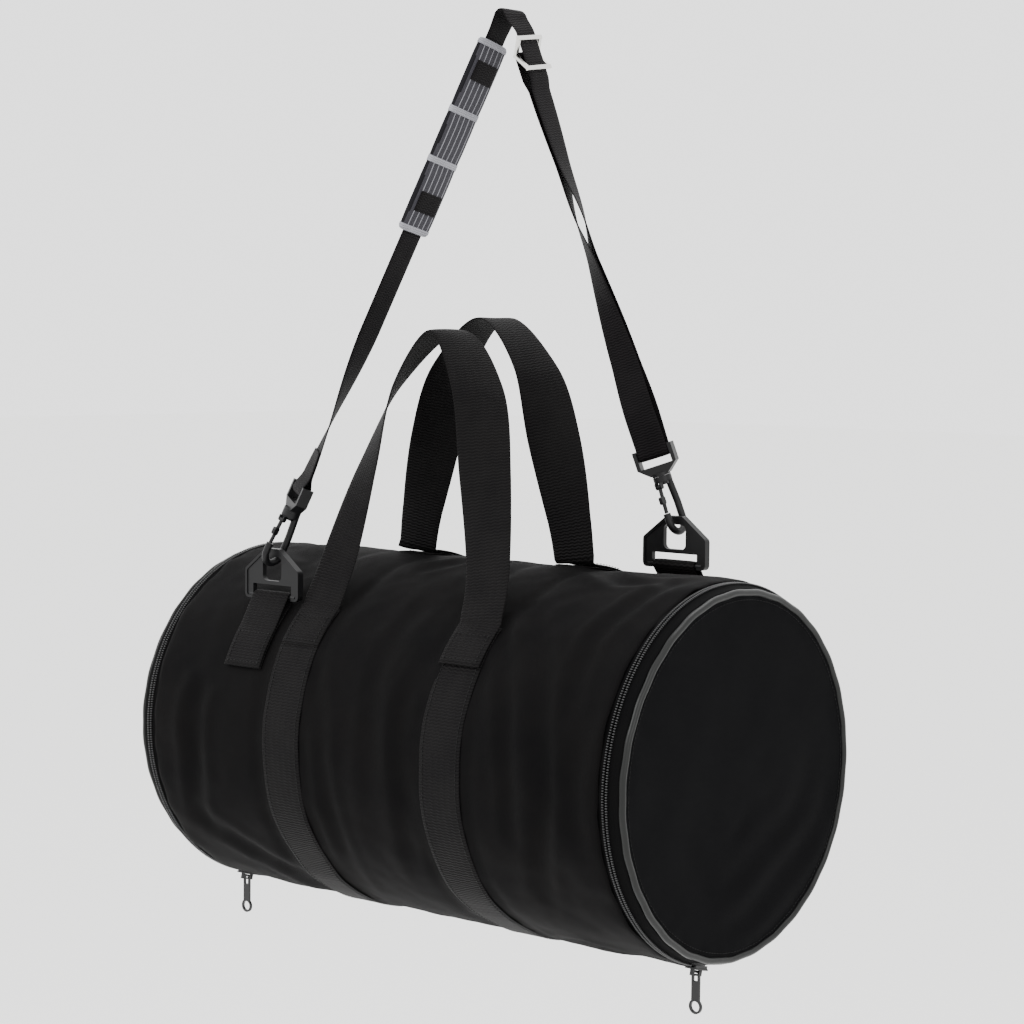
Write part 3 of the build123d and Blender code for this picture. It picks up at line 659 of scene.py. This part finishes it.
def items_along(name, paths, pitch, size, across, material, body, replaced=()):
    """Runs the tree on a curve of one or more paths and keeps the result as a plain mesh."""
    curve = bpy.data.curves.new(name + "_path", "CURVE")
    curve.dimensions = "3D"
    for path in paths:
        spline = curve.splines.new("POLY")
        spline.points.add(len(path) - 1)
        for point, place in zip(spline.points, path):
            point.co = (*place, 1.0)
    holder = bpy.data.objects.new(name + "_path", curve)
    bpy.context.collection.objects.link(holder)
    modifier = holder.modifiers.new("items", "NODES")
    modifier.node_group = item_tree
    values = {"Pitch": pitch, "Item Size": size, "Across": across, "Finish": material}
    for item in item_tree.interface.items_tree:
        if item.in_out == "INPUT" and item.name in values:
            modifier[item.identifier] = values[item.name]
    bpy.context.view_layer.update()
    evaluated = holder.evaluated_get(bpy.context.evaluated_depsgraph_get())
    mesh = bpy.data.meshes.new_from_object(evaluated)
    mesh.name = name
    holder.modifiers.remove(modifier)
    bpy.data.objects.remove(holder)
    for polygon in mesh.polygons:
        polygon.use_smooth = True
    piece = bpy.data.objects.new(name, mesh)
    bpy.context.collection.objects.link(piece)
    if body:
        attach(piece, body)
    if replaced:
        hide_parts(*replaced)
    print(name, "has", len(mesh.polygons) // 40, "items")
    return piece


STITCH_PITCH = 0.0034
STITCH_SIZE = (0.0006, 0.0005, 0.0026)


def stitches(name, paths, body, across=(1, 0, 0)):
    """A seam of lockstitch: each stitch shows on top as one short rounded thread."""
    return items_along(name, paths, STITCH_PITCH, STITCH_SIZE, across, thread, body)


# %% [markdown]
# ## Straps sewn round the barrel
# The two straps of heavy webbing carry the load: each runs from a handle's foot down the front,
# under the barrel and up the back. They are strips on the skin, a row of stitches along each edge.

# %% Barrel straps
FRONT_FOOT, REAR_FOOT = 137.0, 184.0


def barrel_strap(name, x):
    """One strap on the skin from the rear foot under the barrel to the front foot."""
    steps = 230
    first, sweep = REAR_FOOT - 360, FRONT_FOOT + 360 - REAR_FOOT
    angles = [first + sweep * i / steps for i in range(steps + 1)]

    def line(off, above):
        level = []
        for angle in angles:
            lift = sum(skin_lift(x + o, angle) for o in (-0.014, 0.0, 0.014)) / 3
            base = MIDDLE + Vector((x + off, 0, 0))
            level.append(base + out_of(angle) * (RADIUS + lift + above))
        return level

    stations = [(point, Vector((1, 0, 0))) for point in line(0, 0.0011)]
    strap = webbing(
        f"barrel_strap_{name}",
        stations,
        BODY_WEB,
        BODY_WEB_THICK,
        body_webbing,
        "bag",
        (f"barrel_webbing_{name}",),
    )
    seam = [line(off, 0.00195)[3:-3] for off in (-0.0165, 0.0165)]
    stitches(f"barrel_strap_stitches_{name}", seam, "bag")
    return strap


for side_name, side in (("left", -1), ("right", 1)):
    barrel_strap(side_name, side * WEB_X)

# %% [markdown]
# ## Carry handles
# A handle is the same webbing, lapped over the strap at its foot and bar-tacked. Its face turns on
# the way up, so one leg shows its face while the other shows its edge. The lap stays on the bag
# and the rest turns with the handle's joint, but the piece is made in place and rides on no body.

# %% Handles
HANDLE_SHAPE = (
    (0.93, 0.28, 0.18),
    (0.74, 0.55, 0.5),
    (0.5, 0.8, 0.8),
)


def carry_handle(name, foot_angle, apex_y, apex_height, turns):
    """One handle: a lap on the strap, a fold, and an arch that twists."""
    lean = 1 if name == "front" else -1
    foot = MIDDLE + out_of(foot_angle) * (RADIUS + 0.0028)
    apex = MIDDLE + Vector((0, apex_y, apex_height))
    way, rise = apex.y - foot.y, apex.z - foot.z
    half = [foot + Vector((-WEB_X, 0, 0))]
    for wide, over, up in HANDLE_SHAPE:
        half.append(foot + Vector((-WEB_X * wide, way * over, rise * up)))
    controls = half + [apex] + [
        Vector((2 * MIDDLE.x - p.x, p.y, p.z)) for p in reversed(half)
    ]
    arch = smooth_path(controls, 0.004)
    last = len(arch) - 1
    stations = []
    for index, point in enumerate(arch):
        turn = radians(stepped(turns, index / last))
        stations.append((point, Vector((cos(turn), -lean * sin(turn), 0))))
    lap = [lean * -(2.0 + 1.6 * i) for i in range(9)]
    below = [
        MIDDLE + Vector((-WEB_X, 0, 0)) + out_of(foot_angle + step) * (RADIUS + 0.0027)
        for step in lap
    ]
    mirrored = [Vector((2 * MIDDLE.x - p.x, p.y, p.z)) for p in below]
    stations = (
        [(point, Vector((1, 0, 0))) for point in reversed(below)]
        + stations
        + [(point, Vector((cos(radians(turns[-1][1])), 0, 0))) for point in mirrored]
    )
    handle = webbing(
        f"carry_handle_webbing_{name}",
        stations,
        BODY_WEB,
        BODY_WEB_THICK,
        body_webbing,
        None,
        (f"carry_handle_{name}",),
        cup=0.0006,
    )
    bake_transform(handle)
    tacks = []
    for web_x in (-WEB_X, WEB_X):
        for step in (4.5, 13.0):
            angle = foot_angle - lean * step
            level = MIDDLE + Vector((web_x, 0, 0)) + out_of(angle) * (RADIUS + 0.0036)
            tacks.append([level + Vector((off, 0, 0)) for off in (-0.016, 0.016)])
        for off in (-0.016, 0.016):
            tacks.append(
                [
                    MIDDLE
                    + Vector((web_x + off, 0, 0))
                    + out_of(foot_angle - lean * step) * (RADIUS + 0.0036)
                    for step in (4.5, 6.6, 8.7, 10.8, 13.0)
                ]
            )
    stitches(f"handle_tacks_{name}", tacks, "bag", (0, 1, 0))
    return handle


carry_handle("front", FRONT_FOOT, -0.047, 0.318, ((0.0, 0.0), (1.0, 180.0)))
carry_handle(
    "rear", REAR_FOOT, 0.008, 0.327, ((0.0, 0.0), (0.5, 90.0), (1.0, 0.0))
)

# %% [markdown]
# ## Tabs for the strap's rings
# Each ring stands in a loop of webbing whose two layers are sewn to the barrel in a box of
# stitches. The strip starts under the box, goes out round the ring's bar and comes back on top.

# %% Ring tabs
TAB_TURN = 0.0034  # from the middle of the bar to the middle of the webbing round it


def ring_tab(name, bar, seam, end):
    """A folded strip in the plane across the ring's bar."""
    side = 1 if end > seam else -1
    steps = [end + (seam - end) * i / 16 for i in range(17)]
    x = bar.x - MIDDLE.x

    def layer(angle, level):
        lift = BODY_WEB_THICK * (level + 0.55)
        return MIDDLE + Vector((x, 0, 0)) + out_of(angle) * (RADIUS + lift)

    lower = [layer(angle, 0) for angle in steps]
    upper = [layer(angle, 1) for angle in reversed(steps)]
    away = (bar - lower[-1]).normalized()
    across = Vector((0, -away.z, away.y)) * side
    arc = [
        bar + across * (TAB_TURN * cos(radians(a))) + away * (TAB_TURN * sin(radians(a)))
        for a in range(0, 181, 15)
    ]
    out_lean = [lower[-1].lerp(arc[0], t / 5) for t in range(1, 5)]
    back_lean = [arc[-1].lerp(upper[0], t / 5) for t in range(1, 5)]
    path = lower + out_lean + arc + back_lean + upper
    tab = webbing(
        f"ring_tab_webbing_{name}",
        [(point, Vector((1, 0, 0))) for point in path],
        BODY_WEB,
        BODY_WEB_THICK * 0.96,
        body_webbing,
        "bag",
        (f"ring_tab_{name}",),
    )
    box = []
    first, last = end - side * 1.6, seam + side * 2.5

    def over(angle, off):
        return layer(angle, 2) + Vector((off, 0, 0)) - out_of(angle) * 0.0007

    for off in (-0.0165, 0.0165):
        box.append([over(first + (last - first) * i / 8, off) for i in range(9)])
    for angle in (first, last):
        box.append([over(angle, off) for off in (-0.0165, 0.0165)])
    stitches(f"ring_tab_stitches_{name}", box, "bag", (1, 0, 0))
    return tab


front_bar = MIDDLE + Vector((-0.136, -0.097, 0.108))
rear_bar = MIDDLE + Vector((0.136, 0.066, 0.141))
ring_tab("front", front_bar, 127.0, 113.0)
ring_tab("rear", rear_bar, 219.0, 247.0)

# %% [markdown]
# ## Shoulder strap
# One long strip of narrower webbing. Its front end is sewn round the front yoke, it passes through
# the pad and over the peg, goes down to the rear yoke and back up, and ends in a loop on the
# adjuster. It twists on the way down each run, which is what shows its edge half way.

# %% Runs of the strap
EYE_HEIGHT = 0.054
RING_REACH = 0.0343
LAYER = 0.0039
PEG_TURN = 0.00565


def web_across(along, turn):
    """Across the webbing, turned about its run from the peg's own direction."""
    start = square_to(Vector((0, 1, 0)), along)
    return start * cos(radians(turn)) + along.cross(start) * sin(radians(turn))


def make_run(bar, side, turns, upper_turn, twist):
    """The straight line from a hook's eye bar to the peg, with how the webbing turns on it."""
    centre = bar + Vector((0, 0, RING_REACH))
    up = -centre.normalized()
    eye = centre + up * EYE_HEIGHT
    top = square_to(Vector((side, 0, 0)), up) * PEG_TURN
    along = (top - eye).normalized()
    length = (top - eye).length
    stops = ((0, turns), (twist, upper_turn), (length - 0.016, upper_turn), (length, 0))
    return {"eye": eye, "top": top, "along": along, "length": length, "turns": stops}


def on_run(run, height, offset):
    """A station on a run: the webbing's middle at a height, moved off along its face's normal."""
    across = web_across(run["along"], stepped(run["turns"], height))
    place = run["eye"] + run["along"] * height + across.cross(run["along"]) * offset
    return place, across


def around_bar(run, height, offset, radius, first, lean):
    """Half a turn round a bar, from one face (first is 1 or -1), below it or above it."""
    centre, across = on_run(run, height, offset)
    out = across.cross(run["along"])
    return [
        (
            centre
            + out * (first * radius * cos(radians(a)))
            + run["along"] * (lean * radius * sin(radians(a))),
            across,
        )
        for a in range(15, 180, 15)
    ]


front_run = make_run(front_bar, -1, 60.0, 5.0, 0.140)
rear_run = make_run(rear_bar, 1, 110.0, 5.0, 0.290)
GLIDE = rear_run["length"] - 0.032
print("strap runs:", round(front_run["length"], 3), round(rear_run["length"], 3))


def make_strap():
    """Every station of the strip in order, from its sewn front end to its looped rear end."""
    sewn = ((0.0, LAYER), (0.014, 0.0007))
    apart = (
        (0.0, LAYER),
        (0.03, 0.0052),
        (0.075, 0.0016),
        (0.15, 0.0012),
        (0.19, 0.0034),
        (0.235, 0.0012),
        (GLIDE - 0.03, 0.0016),
        (GLIDE - 0.018, LAYER),
        (rear_run["length"] - 0.016, LAYER),
        (rear_run["length"], 0.0),
    )
    stations = []
    for i in range(14):
        height = 0.034 * (1 - i / 13)
        stations.append(on_run(front_run, height, -stepped(sewn, height)))
    stations += around_bar(front_run, 0, 0, LAYER, -1, -1)
    count = 130
    for i in range(count):
        height = front_run["length"] * i / (count - 1)
        lift = stepped(sewn, height) * (1 - smooth(height / 0.12))
        lift += LAYER * (1 - smooth(height / 0.014)) * smooth(height / 0.12)
        stations.append(on_run(front_run, height, max(lift, 0.0)))
    first, last = front_run["top"].normalized(), rear_run["top"].normalized()
    for share in (0.17, 0.34, 0.5, 0.66, 0.83):
        lean = first.lerp(last, share) + Vector((0, 0, 4 * share * (1 - share)))
        stations.append((lean.normalized() * PEG_TURN, Vector((0, 1, 0))))
    for i in range(count):
        height = rear_run["length"] * (1 - i / (count - 1))
        stations.append(on_run(rear_run, height, stepped(apart, height)))
    stations += around_bar(rear_run, 0, 0, LAYER, 1, -1)
    for i in range(count):
        height = GLIDE * i / (count - 1)
        stations.append(on_run(rear_run, height, -stepped(apart, height)))
    core = -0.00155
    stations += around_bar(rear_run, GLIDE, core, 0.00235, -1, 1)
    for i in range(5):
        stations.append(on_run(rear_run, GLIDE - 0.012 * i / 4, core + 0.00235))
    return webbing(
        "shoulder_strap_webbing",
        stations,
        STRAP_WEB,
        STRAP_WEB_THICK,
        strap_webbing,
        "strap",
        ("shoulder_strap",),
    )


make_strap()

# %% [markdown]
# ## Hoops of tape, cord and cloth round the barrel
# The zips, piping, binding and hinge cloths all have one section carried round the barrel's
# axis. A hoop takes the section as (x, radius) points and a rule for how the cloth waves.

# %% A hoop


def around_barrel(x, angle, radius):
    """A point at a place along the barrel, an angle round it and a distance from its axis."""
    return MIDDLE + Vector((x, 0, 0)) + out_of(angle) * radius


def strip_outline(near, far, thickness, count=5):
    """A thin strip's closed section between two (x, radius) edges, in order for outward faces."""
    (x0, r0), (x1, r1) = sorted((near, far))
    middle = [(x0 + (x1 - x0) * i / count, r0 + (r1 - r0) * i / count) for i in range(count + 1)]
    inner = [(x, r - thickness / 2) for x, r in reversed(middle)]
    return inner + [(x, r + thickness / 2) for x, r in middle]


def round_outline(x, radius, size, count=12):
    """A cord's section."""
    turns = [2 * pi * i / count for i in range(count)]
    return [(x + size * cos(t), radius - size * sin(t)) for t in turns]


def hoop(name, outline, first, last, material, body, replaced, wave=None, step=1.0):
    """A section carried from one angle to another, or all the way round."""
    closed = last - first >= 360
    rings = round((last - first) / step) + (0 if closed else 1)
    points, uvs = [], []
    for ring in range(rings):
        angle = first + (last - first) * ring / (rings if closed else rings - 1)
        run = 0.0
        for index, (x, radius) in enumerate(outline):
            lift = wave(x, angle) if wave else 0.0
            points.append(around_barrel(x, angle, radius + lift))
            before = outline[index - 1] if index else outline[0]
            run += ((x - before[0]) ** 2 + (radius - before[1]) ** 2) ** 0.5
            uvs.append((run, RADIUS * radians(angle)))
    faces = tube_faces(rings, len(outline), closed)
    return make_piece(name, points, faces, uvs, material, body, replaced)


# %% [markdown]
# ## Round doors
# Each door is a disc of the same cloth, sewn to a round piping cord and bound on the back. The
# cloth is eased in at its seam, which leaves small puckers along the piping and a few soft waves
# towards the bottom, where the door's weight hangs on its hinge cloth.

# %% Door cloth, piping and binding
DOOR_EDGE = 0.1325
PIPING_SIZE = 0.0026
PIPING_X = 0.2474
GUSSET_START, GUSSET_END = -38.0, 6.0


def door_relief(angle, radius):
    """How far the door's cloth stands out, in metres."""
    edge = (DOOR_EDGE - radius) / MM
    puckers = 0.5 * sin(radians(angle) * 46 + 2.2 * sin(radians(angle) * 7)) * exp(-edge / 7)
    place = Vector((cos(radians(angle)), sin(radians(angle)), 0)) * (radius / 0.045)
    soft = 1.5 * noise.noise(place + Vector((3.1, 7.7, 1.3))) * smooth(edge / 18)
    low = max(0.0, cos(radians(angle + 25))) ** 2 * smooth(radius / 0.1)
    waves = 1.3 * low * sin(edge / 5.5 + 2 * sin(radians(angle) * 3)) * smooth(edge / 9)
    return (puckers + soft + waves - 1.2) * MM


def door_panel(name, side):
    """A polar grid of cloth, finer towards its sewn edge."""
    rings, around = 46, 180
    face = 0.2492
    points = [MIDDLE + Vector((side * (face + door_relief(0, 0)), 0, 0))]
    uvs, faces = [(0.0, 0.0)], []
    for ring in range(1, rings + 1):
        radius = DOOR_EDGE * (ring / rings) ** 0.8
        for index in range(around):
            angle = 360 * index / around
            points.append(around_barrel(side * (face + door_relief(angle, radius)), angle, radius))
            uvs.append((radius * sin(radians(angle)), radius * cos(radians(angle))))
    for index in range(around):
        after = (index + 1) % around
        faces.append((0, 1 + index, 1 + after))
        for ring in range(rings - 1):
            a, b = 1 + ring * around, 1 + (ring + 1) * around
            faces.append((a + index, b + index, b + after, a + after))
    if side > 0:
        faces = [tuple(reversed(face_points)) for face_points in faces]
    panel = make_piece(
        f"door_cloth_{name}",
        points,
        faces,
        uvs,
        door_cloth,
        f"door_{name}",
        (f"door_panel_{name}",),
    )
    wall = panel.modifiers.new("cloth_wall", "SOLIDIFY")
    wall.thickness, wall.offset = 0.0012, -1
    return panel


def piping_wave(x, angle):
    """The cord is pulled in a little between stitches and leans in over the hinge cloth."""
    return (0.25 * sin(radians(angle) * 31) + 0.3 * sin(radians(angle) * 5)) * MM


for side_name, side in (("left", -1), ("right", 1)):
    body = f"door_{side_name}"
    door_panel(side_name, side)
    hoop(
        f"door_piping_cord_{side_name}",
        round_outline(side * PIPING_X, DOOR_EDGE, PIPING_SIZE),
        0,
        360,
        piping_cover,
        body,
        (f"door_piping_{side_name}",),
        piping_wave,
    )
    hoop(
        f"door_binding_tape_{side_name}",
        strip_outline((side * 0.2427, 0.1352), (side * 0.2455, 0.1325), 0.0016),
        0,
        360,
        binding_tape,
        body,
        (f"door_binding_{side_name}",),
    )
    seam = [around_barrel(side * 0.2502, angle, DOOR_EDGE - 0.0052) for angle in range(0, 361, 2)]
    seam = [
        p + Vector((side * (door_relief(i * 2, 0.1273) - 0.0008), 0, 0))
        for i, p in enumerate(seam)
    ]
    stitches(f"door_seam_stitches_{side_name}", [seam], body)
print("door cloth out to", DOOR_EDGE)

# %% [markdown]
# ## Zips
# A coil zip has two tapes, each with a nylon coil on its edge. One tape is sewn under the shell's
# hem and the other slants in to the door's piping. The coil's turns are the repeated item.

# %% Zip tapes and coils
COIL_PITCH = 0.0019
COIL_TURN = (0.0022, 0.0018, 0.0011)
for side_name, side in (("left", -1), ("right", 1)):
    hoop(
        f"barrel_tape_{side_name}",
        strip_outline((side * 0.2232, 0.1371), (side * 0.2354, 0.1371), 0.0008),
        6,
        322,
        zip_tape_cloth,
        "bag",
        (f"barrel_zip_tape_{side_name}",),
    )
    hoop(
        f"door_tape_{side_name}",
        strip_outline((side * 0.2366, 0.1371), (side * 0.2462, 0.1346), 0.0008),
        17,
        311,
        zip_tape_cloth,
        f"door_{side_name}",
        (f"door_zip_tape_{side_name}",),
    )
    for row, x, first, last, body, replaced in (
        ("barrel", 0.2345, 8.7, 318, "bag", f"barrel_zip_teeth_{side_name}"),
        ("door", 0.2377, 17.1, 310.9, f"door_{side_name}", f"door_zip_teeth_{side_name}"),
    ):
        count = 300
        arc = [
            around_barrel(side * x, first + (last - first) * i / count, 0.1384)
            for i in range(count + 1)
        ]
        items_along(
            f"{row}_coil_{side_name}",
            [arc],
            COIL_PITCH,
            COIL_TURN,
            (1, 0, 0),
            coil_nylon,
            body,
            (replaced,),
        )

# %% [markdown]
# ## Hinge cloths
# Where the zip stops, a short piece of the shell's cloth carries on to the door and lets it fold
# down. It is gathered, and it bends as the door opens, but it is made in place on no body.

# %% Gathered hinge cloths


def gather(x, angle):
    """Gathers across the hinge, deepest in the middle of the cloth's width."""
    middle = 1 - abs((abs(x) - 0.2365) / 0.009)
    return (0.7 * sin(radians(angle) * 62) * max(middle, 0) - 0.8) * MM


for side_name, side in (("left", -1), ("right", 1)):
    cloth = hoop(
        f"hinge_cloth_{side_name}",
        strip_outline((side * 0.2285, 0.1392), (side * 0.2452, 0.1362), 0.0014, 10),
        GUSSET_START,
        GUSSET_END,
        gusset_cloth,
        None,
        (f"hinge_gusset_{side_name}",),
        gather,
        0.5,
    )
    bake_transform(cloth)

# %% [markdown]
# ## Shoulder pad
# A foam pad in a striped woven cover, on the front run of the strap. It swells between four light
# cross bands, and black webbing shows near each end.

# %% Pad finishes


def striped_cover():
    """Woven cover with five light stripes along it, 6.4 mm apart, each under 1 mm wide."""
    material, tree, shader = new_material(
        "striped_pad_cover", "#2c2b2f", 0.75, Specular_IOR_Level=0.2
    )
    uv = add_node(tree, "ShaderNodeUVMap", uv_map="cloth")
    split = add_node(tree, "ShaderNodeSeparateXYZ", {"Vector": uv.outputs["UV"]})
    turns = add_node(
        tree, "ShaderNodeMath", {0: split.outputs["X"], 1: 2 * pi / 0.0064}, operation="MULTIPLY"
    )
    wave = add_node(tree, "ShaderNodeMath", {0: turns.outputs[0]}, operation="COSINE")
    ramp = add_node(tree, "ShaderNodeValToRGB", {"Fac": wave.outputs[0]})
    ramp.color_ramp.elements[0].position, ramp.color_ramp.elements[1].position = 0.86, 0.95
    ramp.color_ramp.elements[0].color = to_linear("#2d2c31")
    ramp.color_ramp.elements[1].color = to_linear("#7b7b80")
    tree.links.new(ramp.outputs["Color"], shader.inputs["Base Color"])
    add_bump(tree, shader, weave_height(tree, 0.0009), 0.0001)
    return material


pad_cover = striped_cover()
pad_edge = woven_cloth("plain_pad_edge", "#121214", "#1a191c", 0.75)
pad_band_tape = ribbed_webbing("light_grey_band_tape", "#6a6a70", "#8b8b90", 0.0016, 0.0002)

# %% Pad and bands
PAD_TOP, PAD_LENGTH, PAD_WIDTH, PAD_THICK = 0.022, 0.158, 0.036, 0.007
BAND_PLACES, BAND_LONG = (0.0, 0.056, 0.097, 0.153), 0.005
WINDOW_LONG = 0.016
band_low, band_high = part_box("pad_band_1")
_, pad_across = on_run(front_run, front_run["length"] - 0.1, 0)
pad_out = pad_across.cross(front_run["along"])
strap_beside, _ = on_run(front_run, front_run["length"] - PAD_TOP - BAND_LONG / 2, 0)
band_way = Vector(band_low) + Vector(band_high) - 2 * strap_beside
FACE = 1 if band_way.dot(pad_out) > 0 else -1


def pad_ring(place, grow=0.0, count=32):
    """The pad's section at a distance from its top end, as points and how far round each is."""
    centre, across = on_run(front_run, front_run["length"] - PAD_TOP - place, 0)
    out = across.cross(front_run["along"]) * FACE
    pinch = min(abs(place - b - BAND_LONG / 2) for b in BAND_PLACES)
    swell = 0.86 + 0.14 * smooth(pinch / 0.014)
    end = min(place, PAD_LENGTH - place)
    round_off = (1 - (1 - min(max(end, 0) / 0.003, 1)) ** 2) ** 0.5 * 0.25 + 0.75
    ring = []
    for index in range(count):
        t = 2 * pi * index / count
        wide = (abs(cos(t)) ** 0.45) * (1 if cos(t) > 0 else -1)
        deep = (abs(sin(t)) ** 0.7) * (1 if sin(t) > 0 else -1)
        a = wide * (PAD_WIDTH / 2 * (0.97 + 0.03 * swell) * round_off + grow)
        o = deep * (PAD_THICK / 2 * swell * round_off + grow)
        ring.append((centre + across * a + out * o, a, abs(wide)))
    return ring


def sleeve(name, places, grow, material, replaced):
    """Rings of the pad's section between two places."""
    rings = [pad_ring(place, grow) for place in places]
    around = len(rings[0])
    points = [p for ring in rings for p, _, _ in ring]
    uvs = [(a, place) for ring, place in zip(rings, places) for _, a, _ in ring]
    faces = tube_faces(len(rings), around, False)
    if FACE < 0:
        faces = [tuple(reversed(f)) for f in faces]
    return make_piece(name, points, faces, uvs, material, "pad", replaced)


pad_places = [0.0, 0.0008, 0.0018]
pad_places += [0.003 + 0.152 * i / 76 for i in range(77)]
pad_places += [0.1562, 0.1572, PAD_LENGTH]
pad = sleeve("shoulder_pad_foam", pad_places, 0.0, pad_cover, ("shoulder_pad",))
pad.data.materials.append(pad_edge)
for polygon in pad.data.polygons:
    if abs(polygon.normal.dot(pad_across)) > 0.55:
        polygon.material_index = 1
for index, place in enumerate(BAND_PLACES):
    steps = (0.0, 0.0006, BAND_LONG / 2, BAND_LONG - 0.0006, BAND_LONG)
    places = [place + step for step in steps]
    number = index + 1
    sleeve(
        f"pad_cross_band_{number}",
        places,
        0.0005,
        pad_band_tape,
        (f"pad_band_{number}",),
    )
for index, place in enumerate((0.017, 0.125)):
    patch = []
    for i in range(9):
        height = front_run["length"] - PAD_TOP - place - WINDOW_LONG * i / 8
        centre, across = on_run(front_run, height, 0)
        out = across.cross(front_run["along"]) * FACE
        patch.append((centre + out * (PAD_THICK / 2), across))
    webbing(
        f"pad_window_webbing_{index + 1}",
        patch,
        0.028,
        0.0012,
        strap_webbing,
        "pad",
    )
print("pad face", FACE, "with", len(pad.data.polygons), "faces")
